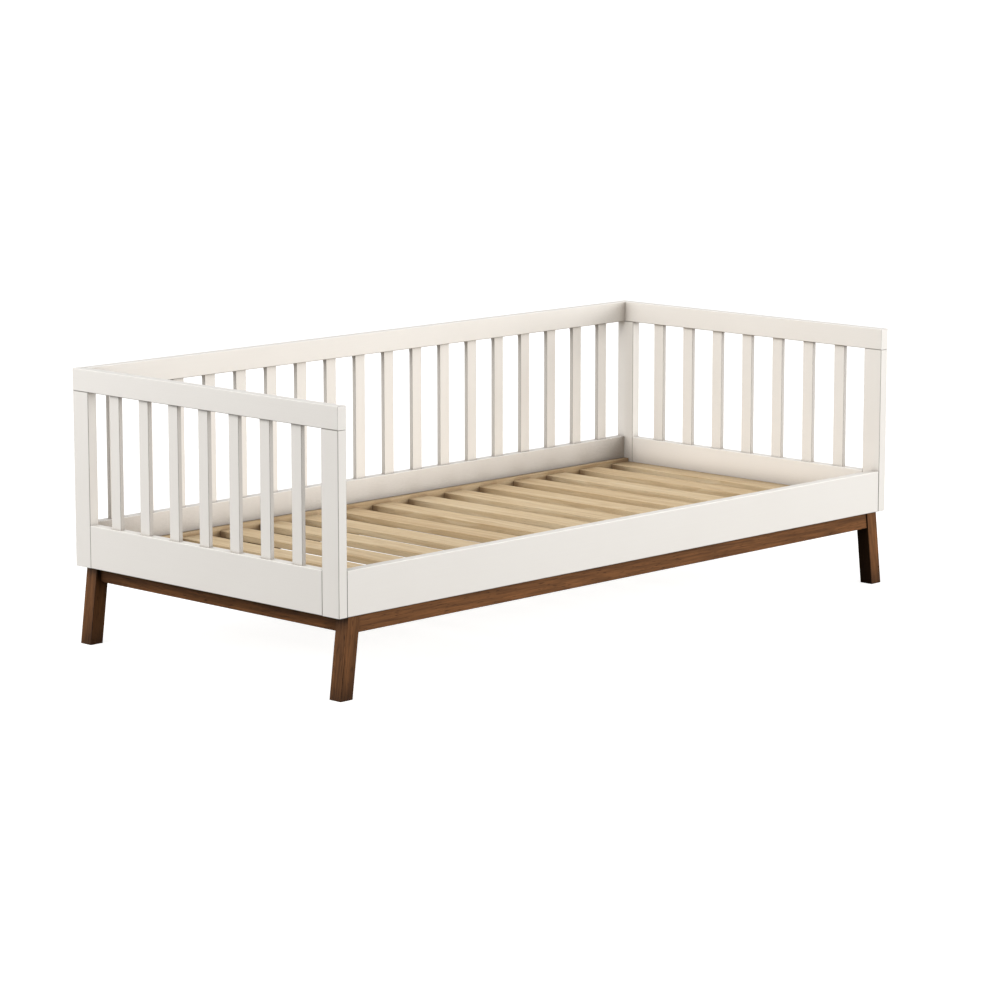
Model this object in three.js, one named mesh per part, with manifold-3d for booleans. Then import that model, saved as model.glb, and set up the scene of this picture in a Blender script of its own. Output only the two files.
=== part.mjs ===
// Toddler bed: two slatted end panels, a slatted back panel and a low front rail,
// all white boards, around a slatted mattress base, on a walnut base with splayed legs.
// Millimetres, +Z up. The origin is on the floor under the middle of the bed;
// the bed's length runs along X and its open front faces -Y.

import * as THREE from 'three';
import { mergeVertices } from 'three/addons/utils/BufferGeometryUtils.js';
import Module from 'manifold-3d';

const wasm = await Module();
wasm.setup();

// ---------------------------------------------------------------- driving sizes

// Overall
const bedLength = 1660; // over the outer faces of the end panels
const bedWidth = 780; // over the front rail and the back panel
const frameBottom = 162; // floor to the underside of the white frame
const frameHeight = 406; // underside to top of the white frame

// White frame
const boardThickness = 22;
const boardEdgeRadius = 1.5; // eased long edges
const postWidth = 47;
const topRailHeight = 46;
const lowerRailHeight = 88;
const frontRailHeight = 90;

// Upright slats of the end panels and the back panel
const slatWidth = 28.5;
const slatThickness = 9.5;
const slatEdgeRadius = 1;
const slatHousing = 10; // depth that a slat enters a rail
const endSlatCount = 7;
const backSlatCount = 18;

// Mattress base
const sideRailHeight = 38;
const sideRailUpstand = 12; // width of the part that stands beside the bed slats
const sideRailShelf = 20; // width of the shelf that the bed slats lie on
const sideRailGap = 4; // between a side rail and the board outside it
const sideRailEndGap = 3; // between a side rail and the end panels
const bedSlatCount = 15;
const bedSlatWidth = 60;
const bedSlatThickness = 13.5;
const bedSlatEdgeRadius = 1.2;
const bedSlatDrop = 8; // bed slats lie this far below the top of the side rails
const bedSlatEndGap = 2; // between the outer bed slats and the end panels

// Walnut base
const legSection = 32; // square section
const legSplay = 21; // outward travel along X from top to foot
const legInsetX = 26; // end of the bed to the leg's outer face at its top
const legInsetY = 3; // front of the bed to the leg's front face
const stretcherHeight = 34;
const longStretcherThickness = 22;
const longStretcherRecess = 3; // behind the legs' front faces
const endStretcherThickness = 18;
const endStretcherRecess = 8; // inside the legs' outer faces at their tops
const braceThickness = 20;
const braceReach = 62; // along each stretcher, beyond the leg
const braceCornerCut = 12; // off the two legs of the brace's inner corner
const boltRadius = 3; // bolts that go up through the braces into the side rails
const boltClearance = 1; // round a bolt in its brace
const boltDepth = 13; // that a bolt reaches into a side rail
const boltInset = 34; // from the inner face of an end stretcher

// Joints
const jointGap = 0.3; // between touching pieces
const tenonLength = 12;
const tenonThickness = 9;
const tenonShoulder = 10; // from a board's edge to the edge of its tenon
const baseTenonLength = 10;
const baseTenonShoulder = 6;
const dowelRadius = 4;
const dowelReach = 12;
const dowelMargin = 11; // from the top of the frame to the upper dowel of a top rail
const topDowelSpacing = 16;
const lowerDowelHeights = [24, 64]; // above the underside of the frame

const arcSegments = 3; // per rounded corner
const dowelSides = 12; // of dowels and bolt holes

// ---------------------------------------------------------------- derived sizes

const halfLength = bedLength / 2;
const halfWidth = bedWidth / 2;
const frameTop = frameBottom + frameHeight;
const topRailBottom = frameTop - topRailHeight;
const lowerRailTop = frameBottom + lowerRailHeight;
const endBoardX = halfLength - boardThickness / 2; // middle plane of an end panel
const sideBoardY = halfWidth - boardThickness / 2; // middle plane of the back panel
const postY = halfWidth - postWidth / 2;
const innerLength = bedLength - 2 * boardThickness;
const slatBottom = lowerRailTop - slatHousing + jointGap;
const slatTop = topRailBottom + slatHousing - jointGap;
const sideRailTop = frameBottom + sideRailHeight;
const bedSlatTop = sideRailTop - bedSlatDrop;
const shelfTop = bedSlatTop - bedSlatThickness - jointGap;
const sideRailOuterY = halfWidth - boardThickness - sideRailGap;
const shelfOuterY = sideRailOuterY - sideRailUpstand;
const shelfInnerY = shelfOuterY - sideRailShelf;
const baseTop = frameBottom - jointGap;
const legX = halfLength - legInsetX - legSection / 2; // leg's middle at its top
const legY = halfWidth - legInsetY - legSection / 2;
const stretcherBottom = frameBottom - stretcherHeight;
const longStretcherY = halfWidth - legInsetY - longStretcherRecess - longStretcherThickness / 2;
const endStretcherX = halfLength - legInsetX - endStretcherRecess - endStretcherThickness / 2;
const boltX = endStretcherX - endStretcherThickness / 2 - boltInset;
const boltY = (shelfInnerY + shelfOuterY) / 2; // in the middle of a side rail's shelf
const topDowelHeights = [frameTop - dowelMargin, frameTop - dowelMargin - topDowelSpacing];

// -------------------------------------------------------------------- materials

const materials = {
  whiteLacquer: new THREE.MeshStandardMaterial({ color: 0xe9e5de, roughness: 0.42, metalness: 0 }),
  walnut: new THREE.MeshStandardMaterial({ color: 0x5e412f, roughness: 0.5, metalness: 0 }),
  paleWood: new THREE.MeshStandardMaterial({ color: 0xd3b88d, roughness: 0.62, metalness: 0 }),
};

// --------------------------------------------------------------- solid helpers

/** A manifold solid with the shape of a closed three.js geometry. */
function solidOf(geometry) {
  const bare = geometry.clone();
  bare.deleteAttribute('normal');
  bare.deleteAttribute('uv');
  const merged = mergeVertices(bare, 1e-4);
  const vertProperties = new Float32Array(merged.attributes.position.array);
  const triVerts = new Uint32Array(merged.index.array);
  return new wasm.Manifold(new wasm.Mesh({ numProp: 3, vertProperties, triVerts }));
}

/** The three.js geometry of a manifold solid. */
function geometryOf(solid) {
  const { vertProperties, triVerts } = solid.getMesh();
  const geometry = new THREE.BufferGeometry();
  geometry.setAttribute('position', new THREE.BufferAttribute(vertProperties, 3));
  geometry.setIndex(new THREE.BufferAttribute(triVerts, 1));
  geometry.computeVertexNormals();
  return geometry;
}

/** A body with some solids joined to it and others cut from it. */
function worked(body, { joined = [], cut = [] }) {
  let solid = solidOf(body);
  for (const piece of joined) solid = solid.add(solidOf(piece));
  for (const tool of cut) solid = solid.subtract(solidOf(tool));
  return geometryOf(solid);
}

/** A plain block of the given size about a centre. */
function block(sizeX, sizeY, sizeZ, centre = [0, 0, 0]) {
  return new THREE.BoxGeometry(sizeX, sizeY, sizeZ).translate(...centre);
}

/** A round peg along X about a centre. */
function peg(radius, length, centre) {
  const cylinder = new THREE.CylinderGeometry(radius, radius, length, dowelSides);
  return cylinder.rotateZ(Math.PI / 2).translate(...centre);
}

/** A round peg along Z about a centre. */
function uprightPeg(radius, length, centre) {
  const cylinder = new THREE.CylinderGeometry(radius, radius, length, dowelSides);
  return cylinder.rotateX(Math.PI / 2).translate(...centre);
}

/** A rectangle about the origin with rounded corners. */
function roundedRectangle(width, height, radius) {
  const right = width / 2 - radius;
  const top = height / 2 - radius;
  const shape = new THREE.Shape();
  shape.absarc(right, top, radius, 0, Math.PI / 2);
  shape.absarc(-right, top, radius, Math.PI / 2, Math.PI);
  shape.absarc(-right, -top, radius, Math.PI, 1.5 * Math.PI);
  shape.absarc(right, -top, radius, 1.5 * Math.PI, 2 * Math.PI);
  shape.closePath();
  return shape;
}

/** A shape drawn in X and Y, extruded by a depth about its middle. */
function slab(shape, depth) {
  const geometry = new THREE.ExtrudeGeometry(shape, {
    depth,
    bevelEnabled: false,
    curveSegments: arcSegments,
  });
  return geometry.translate(0, 0, -depth / 2);
}

/** The same, for a shape drawn in X and Z and extruded along Y. */
function uprightSlab(shape, depth) {
  return slab(shape, depth).rotateX(Math.PI / 2);
}

/** A board about the origin whose four long edges, along one axis, are eased. */
function board(axis, sizeX, sizeY, sizeZ, radius = boardEdgeRadius) {
  if (axis === 'z') return slab(roundedRectangle(sizeX, sizeY, radius), sizeZ);
  if (axis === 'y') return uprightSlab(roundedRectangle(sizeX, sizeZ, radius), sizeY);
  return slab(roundedRectangle(sizeZ, sizeY, radius), sizeX).rotateY(Math.PI / 2);
}

/** A closed polygon through its corners. */
function polygon(corners) {
  return new THREE.Shape(corners.map(([x, y]) => new THREE.Vector2(x, y)));
}

/** Evenly spaced middles of pieces between two ends, with equal gaps all along. */
function spacedBetween(count, span, pieceWidth) {
  const gap = (span - count * pieceWidth) / (count + 1);
  const pitch = gap + pieceWidth;
  return Array.from({ length: count }, (_, i) => -span / 2 + pitch * (i + 1) - pieceWidth / 2);
}

/** Middles of pieces whose outer edges reach both ends of a span. */
function spacedFlush(count, span, pieceWidth) {
  const pitch = (span - pieceWidth) / (count - 1);
  return Array.from({ length: count }, (_, i) => -span / 2 + pieceWidth / 2 + pitch * i);
}

/** Adds a named mesh to a group. */
function place(group, name, geometry, material, position) {
  const mesh = new THREE.Mesh(geometry, material);
  mesh.name = name;
  mesh.position.set(...position);
  group.add(mesh);
}

const numbered = (name, index) => `${name}_${String(index + 1).padStart(2, '0')}`;
const endName = (side) => (side < 0 ? 'left' : 'right');
const depthName = (facing) => (facing < 0 ? 'front' : 'back');

// ------------------------------------------------------------------ end panels

/** A corner post: tenon into the top rail, mortise and dowel holes for the rails. */
function post(side, facing) {
  const height = topRailBottom - jointGap - frameBottom;
  const middleZ = frameBottom + height / 2;
  const tenon = block(tenonThickness, postWidth - 2 * tenonShoulder, 2 * tenonLength, [0, 0, height / 2]);
  const mortise = block(
    tenonThickness + 2 * jointGap,
    2 * (tenonLength + jointGap),
    lowerRailHeight - 2 * tenonShoulder + 2 * jointGap,
    [0, -facing * (postWidth / 2), frameBottom + lowerRailHeight / 2 - middleZ],
  );
  const holes = lowerDowelHeights.map((z) =>
    peg(dowelRadius + jointGap, 2 * (dowelReach + jointGap), [
      -side * (boardThickness / 2),
      facing * (sideBoardY - postY),
      frameBottom + z - middleZ,
    ]),
  );
  const body = board('z', boardThickness, postWidth, height);
  return {
    geometry: worked(body, { joined: [tenon], cut: [mortise, ...holes] }),
    position: [side * endBoardX, facing * postY, middleZ],
  };
}

/** The rail that caps both posts of an end panel. */
function endTopRail(side) {
  const underside = -topRailHeight / 2;
  const postMortises = [-1, 1].map((facing) =>
    block(
      tenonThickness + 2 * jointGap,
      postWidth - 2 * tenonShoulder + 2 * jointGap,
      2 * (tenonLength + jointGap),
      [0, facing * postY, underside],
    ),
  );
  const groove = block(
    slatThickness + 2 * jointGap,
    bedWidth - 2 * postWidth,
    2 * slatHousing,
    [0, 0, underside],
  );
  const holes = topDowelHeights.map((z) =>
    peg(dowelRadius + jointGap, 2 * (dowelReach + jointGap), [
      -side * (boardThickness / 2),
      sideBoardY,
      z - (frameTop - topRailHeight / 2),
    ]),
  );
  const body = board('y', boardThickness, bedWidth, topRailHeight);
  return {
    geometry: worked(body, { cut: [...postMortises, groove, ...holes] }),
    position: [side * endBoardX, 0, frameTop - topRailHeight / 2],
  };
}

/** The deep rail between the posts of an end panel. */
function endLowerRail(side) {
  const length = bedWidth - 2 * postWidth - 2 * jointGap;
  const tenonHeight = lowerRailHeight - 2 * tenonShoulder;
  const tenons = [-1, 1].map((facing) =>
    block(tenonThickness, 2 * tenonLength, tenonHeight, [0, facing * (length / 2), 0]),
  );
  const groove = block(
    slatThickness + 2 * jointGap,
    length + 2 * tenonLength,
    2 * slatHousing,
    [0, 0, lowerRailHeight / 2],
  );
  const body = board('y', boardThickness, length, lowerRailHeight);
  return {
    geometry: worked(body, { joined: tenons, cut: [groove] }),
    position: [side * endBoardX, 0, frameBottom + lowerRailHeight / 2],
  };
}

/** The upright slats of an end panel with the two filler strips glued between them. */
function endSlatSet(side) {
  const span = bedWidth - 2 * postWidth;
  const middles = spacedBetween(endSlatCount, span, slatWidth);
  const middleZ = (slatBottom + slatTop) / 2;
  const stripHeight = slatHousing - jointGap;
  const stripLength = span - 2 * jointGap;
  const strips = [slatBottom + stripHeight / 2, slatTop - stripHeight / 2].map((z) =>
    block(slatThickness, stripLength, stripHeight, [0, 0, z - middleZ]),
  );
  const slats = middles.map((y) =>
    board('z', slatThickness, slatWidth, slatTop - slatBottom, slatEdgeRadius).translate(0, y, 0),
  );
  return {
    geometry: worked(strips[0], { joined: [strips[1], ...slats] }),
    position: [side * endBoardX, 0, middleZ],
  };
}

/** One whole end panel. */
function endPanel(side) {
  const group = new THREE.Group();
  const end = endName(side);
  for (const facing of [-1, 1]) {
    const { geometry, position } = post(side, facing);
    place(group, `${end}_${depthName(facing)}_post`, geometry, materials.whiteLacquer, position);
  }
  const parts = { top_rail: endTopRail(side), lower_rail: endLowerRail(side), slat_set: endSlatSet(side) };
  for (const [name, { geometry, position }] of Object.entries(parts)) {
    place(group, `${end}_${name}`, geometry, materials.whiteLacquer, position);
  }
  return group;
}

// ------------------------------------------------------- back panel, front rail

/** A board between the end panels, with two dowels in each end. */
function crossBoard(height, middleZ, dowelHeights, cut) {
  const length = innerLength - 2 * jointGap;
  const dowels = [-1, 1].flatMap((side) =>
    dowelHeights.map((z) => peg(dowelRadius, 2 * dowelReach, [side * (length / 2), 0, z - middleZ])),
  );
  const body = board('x', length, boardThickness, height);
  return worked(body, { joined: dowels, cut });
}

/** The mortises for the back slats in one edge of a rail. */
function backSlatMortises(edgeZ) {
  return spacedBetween(backSlatCount, innerLength, slatWidth).map((x) =>
    block(slatWidth + 2 * jointGap, slatThickness + 2 * jointGap, 2 * slatHousing, [x, 0, edgeZ]),
  );
}

/** The back panel: two rails and the slats between them. */
function backPanel() {
  const group = new THREE.Group();
  const lowerDowels = lowerDowelHeights.map((z) => frameBottom + z);
  const topZ = frameTop - topRailHeight / 2;
  const lowerZ = frameBottom + lowerRailHeight / 2;
  const topRail = crossBoard(topRailHeight, topZ, topDowelHeights, backSlatMortises(-topRailHeight / 2));
  const lowerRail = crossBoard(lowerRailHeight, lowerZ, lowerDowels, backSlatMortises(lowerRailHeight / 2));
  place(group, 'back_top_rail', topRail, materials.whiteLacquer, [0, sideBoardY, topZ]);
  place(group, 'back_lower_rail', lowerRail, materials.whiteLacquer, [0, sideBoardY, lowerZ]);

  const slat = board('z', slatWidth, slatThickness, slatTop - slatBottom, slatEdgeRadius);
  const middleZ = (slatBottom + slatTop) / 2;
  spacedBetween(backSlatCount, innerLength, slatWidth).forEach((x, index) => {
    place(group, numbered('back_slat', index), slat, materials.whiteLacquer, [x, sideBoardY, middleZ]);
  });
  return group;
}

/** The low board across the open front. */
function frontRail() {
  const group = new THREE.Group();
  const middleZ = frameBottom + frontRailHeight / 2;
  const dowels = lowerDowelHeights.map((z) => frameBottom + z);
  const geometry = crossBoard(frontRailHeight, middleZ, dowels, []);
  place(group, 'front_rail', geometry, materials.whiteLacquer, [0, -sideBoardY, middleZ]);
  return group;
}

// --------------------------------------------------------------- mattress base

/** A side rail, rebated to carry the bed slats, with holes for the bolts from the braces. */
function sideRail(facing) {
  const section = polygon([
    [facing * sideRailOuterY, frameBottom],
    [facing * sideRailOuterY, sideRailTop],
    [facing * shelfOuterY, sideRailTop],
    [facing * shelfOuterY, shelfTop],
    [facing * shelfInnerY, shelfTop],
    [facing * shelfInnerY, frameBottom],
  ]);
  const length = innerLength - 2 * sideRailEndGap;
  const body = slab(section, length).rotateX(Math.PI / 2).rotateZ(Math.PI / 2);
  const holes = [-1, 1].map((side) =>
    uprightPeg(boltRadius, 2 * boltDepth, [side * boltX, facing * boltY, frameBottom]),
  );
  return worked(body, { cut: holes });
}

/** The two side rails and the slats that carry the mattress. */
function mattressBase() {
  const group = new THREE.Group();
  for (const facing of [-1, 1]) {
    place(group, `${depthName(facing)}_side_rail`, sideRail(facing), materials.paleWood, [0, 0, 0]);
  }
  const span = innerLength - 2 * bedSlatEndGap;
  const slatLength = 2 * (shelfOuterY - jointGap);
  const slat = board('y', bedSlatWidth, slatLength, bedSlatThickness, bedSlatEdgeRadius);
  const middleZ = bedSlatTop - bedSlatThickness / 2;
  spacedFlush(bedSlatCount, span, bedSlatWidth).forEach((x, index) => {
    place(group, numbered('bed_slat', index), slat, materials.paleWood, [x, 0, middleZ]);
  });
  return group;
}

// ----------------------------------------------------------------- walnut base

/** How far the legs have moved outward at a height below their tops. */
function splayAt(z) {
  return (legSplay * (baseTop - z)) / baseTop;
}

const tenonHeight = stretcherHeight - 2 * baseTenonShoulder;
const tenonZ = frameBottom - stretcherHeight / 2;
const longTenonThickness = longStretcherThickness - 2 * baseTenonShoulder;
const endTenonThickness = endStretcherThickness - 2 * baseTenonShoulder;
const longTenonTipX = legX - legSection / 2 + baseTenonLength + splayAt(tenonZ);
const endTenonTipY = legY - legSection / 2 + baseTenonLength;

/** A leg that leans outward along the bed, with mortises for its two stretchers. */
function leg(side, facing) {
  const half = legSection / 2;
  const outline = polygon([
    [side * (legX - half), baseTop],
    [side * (legX + half), baseTop],
    [side * (legX + half + legSplay), 0],
    [side * (legX - half + legSplay), 0],
  ]);
  const body = uprightSlab(outline, legSection).translate(0, facing * legY, 0);
  const longMortise = block(
    2 * (baseTenonLength + legSplay),
    longTenonThickness + 2 * jointGap,
    tenonHeight + 2 * jointGap,
    [side * (longTenonTipX + jointGap - baseTenonLength - legSplay), facing * longStretcherY, tenonZ],
  );
  const endMortise = block(
    endTenonThickness + 2 * jointGap,
    2 * (baseTenonLength + jointGap),
    tenonHeight + 2 * jointGap,
    [side * endStretcherX, facing * (legY - half), tenonZ],
  );
  return worked(body, { cut: [longMortise, endMortise] });
}

/** A long stretcher, its ends cut to the lean of the legs. */
function longStretcher(facing) {
  const face = legX - legSection / 2 - jointGap;
  const low = face + splayAt(stretcherBottom);
  const high = face + splayAt(baseTop);
  const outline = polygon([
    [-low, stretcherBottom],
    [low, stretcherBottom],
    [high, baseTop],
    [-high, baseTop],
  ]);
  const y = facing * longStretcherY;
  const body = uprightSlab(outline, longStretcherThickness).translate(0, y, 0);
  const tenon = block(2 * longTenonTipX, longTenonThickness, tenonHeight, [0, y, tenonZ]);
  return worked(body, { joined: [tenon] });
}

/** An end stretcher, square-ended between the legs. */
function endStretcher(side) {
  const length = 2 * (legY - legSection / 2 - jointGap);
  const height = stretcherHeight - jointGap;
  const middle = [side * endStretcherX, 0, stretcherBottom + height / 2];
  const body = block(endStretcherThickness, length, height, middle);
  const tenon = block(endTenonThickness, 2 * endTenonTipY, tenonHeight, [middle[0], 0, tenonZ]);
  return worked(body, { joined: [tenon] });
}

/** A flat brace in a corner of the base, notched round the leg, with a hole for its bolt. */
function cornerBrace(side, facing) {
  const nearLong = longStretcherY - longStretcherThickness / 2 - jointGap;
  const nearEnd = endStretcherX - endStretcherThickness / 2 - jointGap;
  const legInnerX = legX - legSection / 2 - jointGap;
  const legInnerY = legY - legSection / 2 - jointGap;
  const farX = legInnerX - braceReach;
  const farY = legInnerY - braceReach;
  const outline = polygon([
    [side * farX, facing * nearLong],
    [side * legInnerX, facing * nearLong],
    [side * legInnerX, facing * legInnerY],
    [side * nearEnd, facing * legInnerY],
    [side * nearEnd, facing * farY],
    [side * (farX + braceCornerCut), facing * farY],
    [side * farX, facing * (farY + braceCornerCut)],
  ]);
  const middleZ = baseTop - braceThickness / 2;
  const body = slab(outline, braceThickness).translate(0, 0, middleZ);
  const centre = [side * boltX, facing * boltY, middleZ];
  return worked(body, { cut: [uprightPeg(boltRadius + boltClearance, 2 * braceThickness, centre)] });
}

/** Legs, stretchers and corner braces. */
function walnutBase() {
  const group = new THREE.Group();
  for (const facing of [-1, 1]) {
    place(group, `${depthName(facing)}_stretcher`, longStretcher(facing), materials.walnut, [0, 0, 0]);
    for (const side of [-1, 1]) {
      const corner = `${depthName(facing)}_${endName(side)}`;
      place(group, `${corner}_leg`, leg(side, facing), materials.walnut, [0, 0, 0]);
      place(group, `${corner}_brace`, cornerBrace(side, facing), materials.walnut, [0, 0, 0]);
    }
  }
  for (const side of [-1, 1]) {
    place(group, `${endName(side)}_stretcher`, endStretcher(side), materials.walnut, [0, 0, 0]);
  }
  return group;
}

// ------------------------------------------------------------------ whole bed

const bed = new THREE.Group();
bed.add(endPanel(-1), endPanel(1), backPanel(), frontRail(), mattressBase(), walnutBase());

export default bed;
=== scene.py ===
"""A toddler bed: lacquered end, back and front boards round a slatted deck, on a walnut base.

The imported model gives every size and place. Each sub-assembly is a class that reads its boards'
boxes from the frame, builds finer meshes over them and dresses them in its finish. Lengths are in
metres, +Z is up, the bed's length runs along X and its open front faces -Y.
"""

import logging
import math
import random
from dataclasses import dataclass, field, replace
from enum import Enum
from typing import Iterable, Sequence

import bpy
from bpy.types import ID, Material, Mesh, NodeSocket, NodeTree, Object
from mathutils import Matrix, Vector


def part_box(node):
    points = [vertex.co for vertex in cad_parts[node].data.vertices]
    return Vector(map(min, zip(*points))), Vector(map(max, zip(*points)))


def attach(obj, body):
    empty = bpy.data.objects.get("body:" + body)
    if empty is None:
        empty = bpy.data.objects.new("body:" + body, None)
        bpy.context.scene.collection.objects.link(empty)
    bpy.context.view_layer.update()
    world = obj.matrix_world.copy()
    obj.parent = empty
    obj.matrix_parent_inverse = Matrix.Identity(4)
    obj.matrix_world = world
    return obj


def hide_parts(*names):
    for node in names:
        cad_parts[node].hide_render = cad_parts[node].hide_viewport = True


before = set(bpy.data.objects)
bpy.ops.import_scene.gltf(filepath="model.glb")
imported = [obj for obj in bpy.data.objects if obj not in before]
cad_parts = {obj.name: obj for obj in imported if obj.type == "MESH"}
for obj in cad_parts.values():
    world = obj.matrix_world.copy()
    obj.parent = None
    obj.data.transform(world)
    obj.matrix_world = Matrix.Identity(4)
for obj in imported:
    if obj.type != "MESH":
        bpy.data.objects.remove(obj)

log = logging.getLogger("toddler_bed")

MM = 0.001
JOINT_GAP = 0.3 * MM  # what the frame leaves between touching pieces
EDGE_STEPS = 4  # facets in a rounded edge
BODY = "root"
PLACE = "board_place"  # each point's place along, across and through its own board
TONE = "board_tone"  # how light or dark the board it belongs to is, from -0.5 to 0.5
ARRIS = "board_arris"  # 1 on the crown of an edge painted darker, -1 on one with a painted highlight, 0 on the flats
NORMAL = "board_normal"  # the smooth normal of each corner
MIX_A, MIX_B, MIX_OUT = 6, 7, 2  # the colour sockets of a Mix node
TINY = 1e-6  # what rounding may leave of nothing
SQUARE_ON = 0.99  # how much of a normal lies along an axis on the face that the axis meets


class Slot(Enum):
    """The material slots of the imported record."""

    WHITE = "white_lacquer"
    WALNUT = "walnut"
    PALE = "pale_wood"


class Axis(Enum):
    """The way that a board's length and grain run."""

    X = 0
    Y = 1
    Z = 2

    def to_bed(self, place: Vector) -> Vector:
        """Turns (along, across, through) into the bed's own X, Y and Z."""
        return Vector(place[(step - self.value) % 3] for step in range(3))

    def to_board(self, place: Vector) -> Vector:
        """Turns the bed's X, Y and Z into (along, across, through)."""
        return Vector(place[(step + self.value) % 3] for step in range(3))


class PatternSpace(Enum):
    """Where a finish reads its pattern's coordinates."""

    BOARD = "board"
    OBJECT = "object"


def add_object(name: str, data: ID) -> Object:
    """Adds an object to the scene, at the origin.

    Args:
        name: its name.
        data: its mesh, lamp or camera.

    Returns:
        The object.
    """
    piece = bpy.data.objects.new(name, data)
    bpy.context.scene.collection.objects.link(piece)
    return piece


# ------------------------------------------------------------------------------- shader nodes


def linear(hex_colour: str) -> tuple[float, float, float, float]:
    """The linear colour of an sRGB hex value.

    Args:
        hex_colour: six hex digits, such as "f2eee6".

    Returns:
        Red, green and blue as Blender's sockets take them, and an alpha of 1.
    """
    channels = (int(hex_colour[i : i + 2], 16) / 255 for i in (0, 2, 4))
    red, green, blue = (c / 12.92 if c <= 0.04045 else ((c + 0.055) / 1.055) ** 2.4 for c in channels)
    return red, green, blue, 1.0


def per_metre(size_mm: float) -> float:
    """The texture scale at which a pattern's features are about this many millimetres."""
    return 1.0 / (size_mm * MM)


def add_node(
    tree: NodeTree, kind: str, inputs: dict | None = None, give: int | str = 0, **settings
) -> NodeSocket | None:
    """Adds a node to a tree.

    Args:
        tree: the tree it goes in.
        kind: the node's type.
        inputs: what its input sockets hold, by name or number: a value, or an output to link.
        give: the name or number of the output that is wanted.
        settings: the node's own properties.

    Returns:
        That output, or None if the node has no outputs.
    """
    node = tree.nodes.new(kind)
    for name, value in settings.items():
        setattr(node, name, value)
    for key, value in (inputs or {}).items():
        if isinstance(value, NodeSocket):
            tree.links.new(value, node.inputs[key])
        else:
            node.inputs[key].default_value = value
    return node.outputs[give] if len(node.outputs) else None


def new_material(name: str) -> tuple[Material, NodeTree]:
    """Makes an empty node material.

    Args:
        name: the material's name.

    Returns:
        The material and its emptied node tree.
    """
    material = bpy.data.materials.new(name)
    material.use_nodes = True
    material.node_tree.nodes.clear()
    return material, material.node_tree


def pattern_place(tree: NodeTree, space: PatternSpace) -> NodeSocket:
    """The coordinates that a finish's patterns are drawn in, in metres.

    Args:
        tree: the material's tree.
        space: the board's own place, X along the grain, or the object's.

    Returns:
        The coordinates.
    """
    if space is PatternSpace.OBJECT:
        return add_node(tree, "ShaderNodeTexCoord", give="Object")
    return add_node(tree, "ShaderNodeAttribute", give="Vector", attribute_name=PLACE)


def stretched_noise(
    tree: NodeTree, place: NodeSocket, length_mm: float, width_mm: float, detail: float, roughness: float
) -> NodeSocket:
    """Noise drawn out along the grain.

    Args:
        tree: the material's tree.
        place: the pattern's coordinates.
        length_mm: how long its features are along the grain.
        width_mm: how wide they are across it.
        detail: the noise's levels.
        roughness: how strong each finer level is.

    Returns:
        The noise, from 0 to 1.
    """
    stretch = (width_mm / length_mm, 1.0, 1.0)
    along = add_node(tree, "ShaderNodeMapping", {"Vector": place, "Scale": stretch})
    levels = {"Scale": per_metre(width_mm), "Detail": detail, "Roughness": roughness}
    return add_node(tree, "ShaderNodeTexNoise", {"Vector": along, **levels})


def paint_corner_shade(
    tree: NodeTree, colour: NodeSocket, tint: str, reach_mm: float, share: float
) -> NodeSocket:
    """Paints shade into a colour in inner corners and seams, where other faces stand close.

    Args:
        tree: the material's tree.
        colour: the colour in the open.
        tint: the colour of the painted shade in the deepest corner.
        reach_mm: how near another face is when the shade begins.
        share: how much of the tint shows in the deepest corner.

    Returns:
        The shaded colour.
    """
    samples, open_face, deep_corner = 6, 0.97, 0.3
    clear = add_node(
        tree, "ShaderNodeAmbientOcclusion", {"Distance": reach_mm * MM}, give="AO", samples=samples
    )
    limits = {"From Min": open_face, "From Max": deep_corner, "To Max": share}
    hidden = add_node(
        tree, "ShaderNodeMapRange", {"Value": clear, **limits}, interpolation_type="SMOOTHSTEP"
    )
    colours = {MIX_A: colour, MIX_B: linear(tint)}
    return add_node(tree, "ShaderNodeMix", {"Factor": hidden, **colours}, MIX_OUT, data_type="RGBA")


# ------------------------------------------------------------------------------------ finishes


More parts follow.
